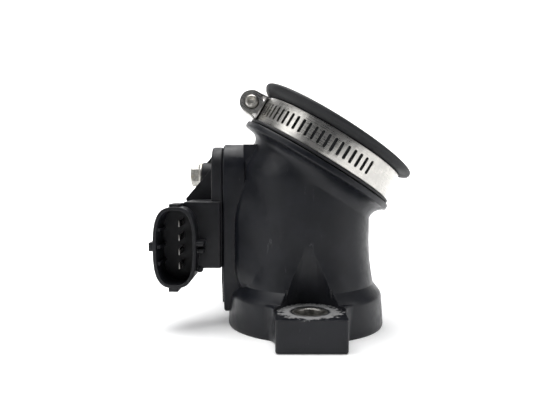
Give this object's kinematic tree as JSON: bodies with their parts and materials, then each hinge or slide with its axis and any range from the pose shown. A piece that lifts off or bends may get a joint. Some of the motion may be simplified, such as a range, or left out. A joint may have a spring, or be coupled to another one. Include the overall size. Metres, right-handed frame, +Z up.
{
  "type": "electronic throttle body",
  "caption": "Plastic electronic throttle body with a leaning inlet neck, clamped hose end, geared motor drive, side cover and plug connector.",
  "frame": {"origin": "centre of the throttle bore at the flange's mounting face", "axes": "+Z up along the bore from manifold to air inlet; +X the side the inlet neck leans to, so -X is the cover side; -Y the side of the front ear and the connector's mouth"},
  "size_m": [0.0941, 0.0943, 0.0885],
  "materials": {
    "black_plastic": "moulded glass-filled plastic, satin black with a faint blue cast",
    "cover_plastic": "moulded plastic, fine texture, a little greyer than the housing",
    "rubber": "matte dark grey rubber",
    "seal_rubber": "moulded seal rubber",
    "stainless": "bright rolled stainless strip",
    "zinc": "zinc plated, pale and slightly yellow",
    "steel": "plain machined steel",
    "aluminium": "satin",
    "bronze": "sintered bronze or brass",
    "tin": "tin plated contact",
    "copper": "varnished copper windings",
    "magnet": "sintered ferrite",
    "gear_plastic": "natural acetal or nylon",
    "board": "green coated laminate",
    "chip": "black moulding compound"
  },
  "bodies": {
    "body": {"housing": "black_plastic", "front_sleeve": "steel", "rear_sleeve": "steel", "manifold_seal": "seal_rubber", "hose_end": "rubber", "clamp_band": "stainless", "clamp_housing": "stainless", "near_bush": "bronze", "far_bush": "bronze", "shaft_seal": "seal_rubber", "return_spring": "steel", "idler_pin": "steel", "motor_can": "steel", "motor_end_cap": "chip", "motor_magnet_1": "magnet", "motor_magnet_2": "magnet", "motor_bracket": "steel", "motor_screw_1": "zinc", "motor_screw_2": "zinc", "cover": "cover_plastic", "cover_gasket": "seal_rubber", "cover_screw_1": "zinc", "cover_screw_2": "zinc", "cover_screw_3": "zinc", "terminal_1": "tin", "terminal_2": "tin", "terminal_3": "tin", "terminal_4": "tin", "circuit_board": "board", "position_sensor": "chip", "motor_driver": "chip", "board_capacitor": "aluminium"},
    "throttle": {"throttle_shaft": "steel", "throttle_plate": "aluminium", "plate_screw_1": "zinc", "plate_screw_2": "zinc", "throttle_gear": "gear_plastic", "shaft_magnet": "magnet"},
    "intermediate": {"intermediate_gear": "gear_plastic"},
    "motor_rotor": {"motor_shaft": "steel", "motor_armature": "copper", "motor_pinion": "bronze"},
    "worm": {"clamp_worm": "zinc"}
  },
  "joints": [
    {"name": "throttle_turn", "type": "hinge", "parent": "body", "child": "throttle", "pos_m": [0, 0, 0.03], "axis": [-1, 0, 0], "range_deg": [0, 78], "stiffness_Nm_per_rad": 0.08},
    {"name": "intermediate_turn", "type": "hinge", "parent": "body", "child": "intermediate", "pos_m": [0, 0.02125, 0.03569], "axis": [-1, 0, 0], "range_deg": [-266, 0.5]},
    {"name": "motor_turn", "type": "hinge", "parent": "body", "child": "motor_rotor", "pos_m": [0, 0.03608, 0.04358], "axis": [-1, 0, 0], "range_deg": [-1, 850]},
    {"name": "worm_turn", "type": "hinge", "parent": "body", "child": "worm", "pos_m": [-0.02007, 0, 0.08268], "axis": [0, 1, 0], "continuous": true}
  ],
  "couplings": [
    {"joint": "intermediate_turn", "follows": "throttle_turn", "ratio": -3.4},
    {"joint": "motor_turn", "follows": "throttle_turn", "ratio": 10.88}
  ]
}
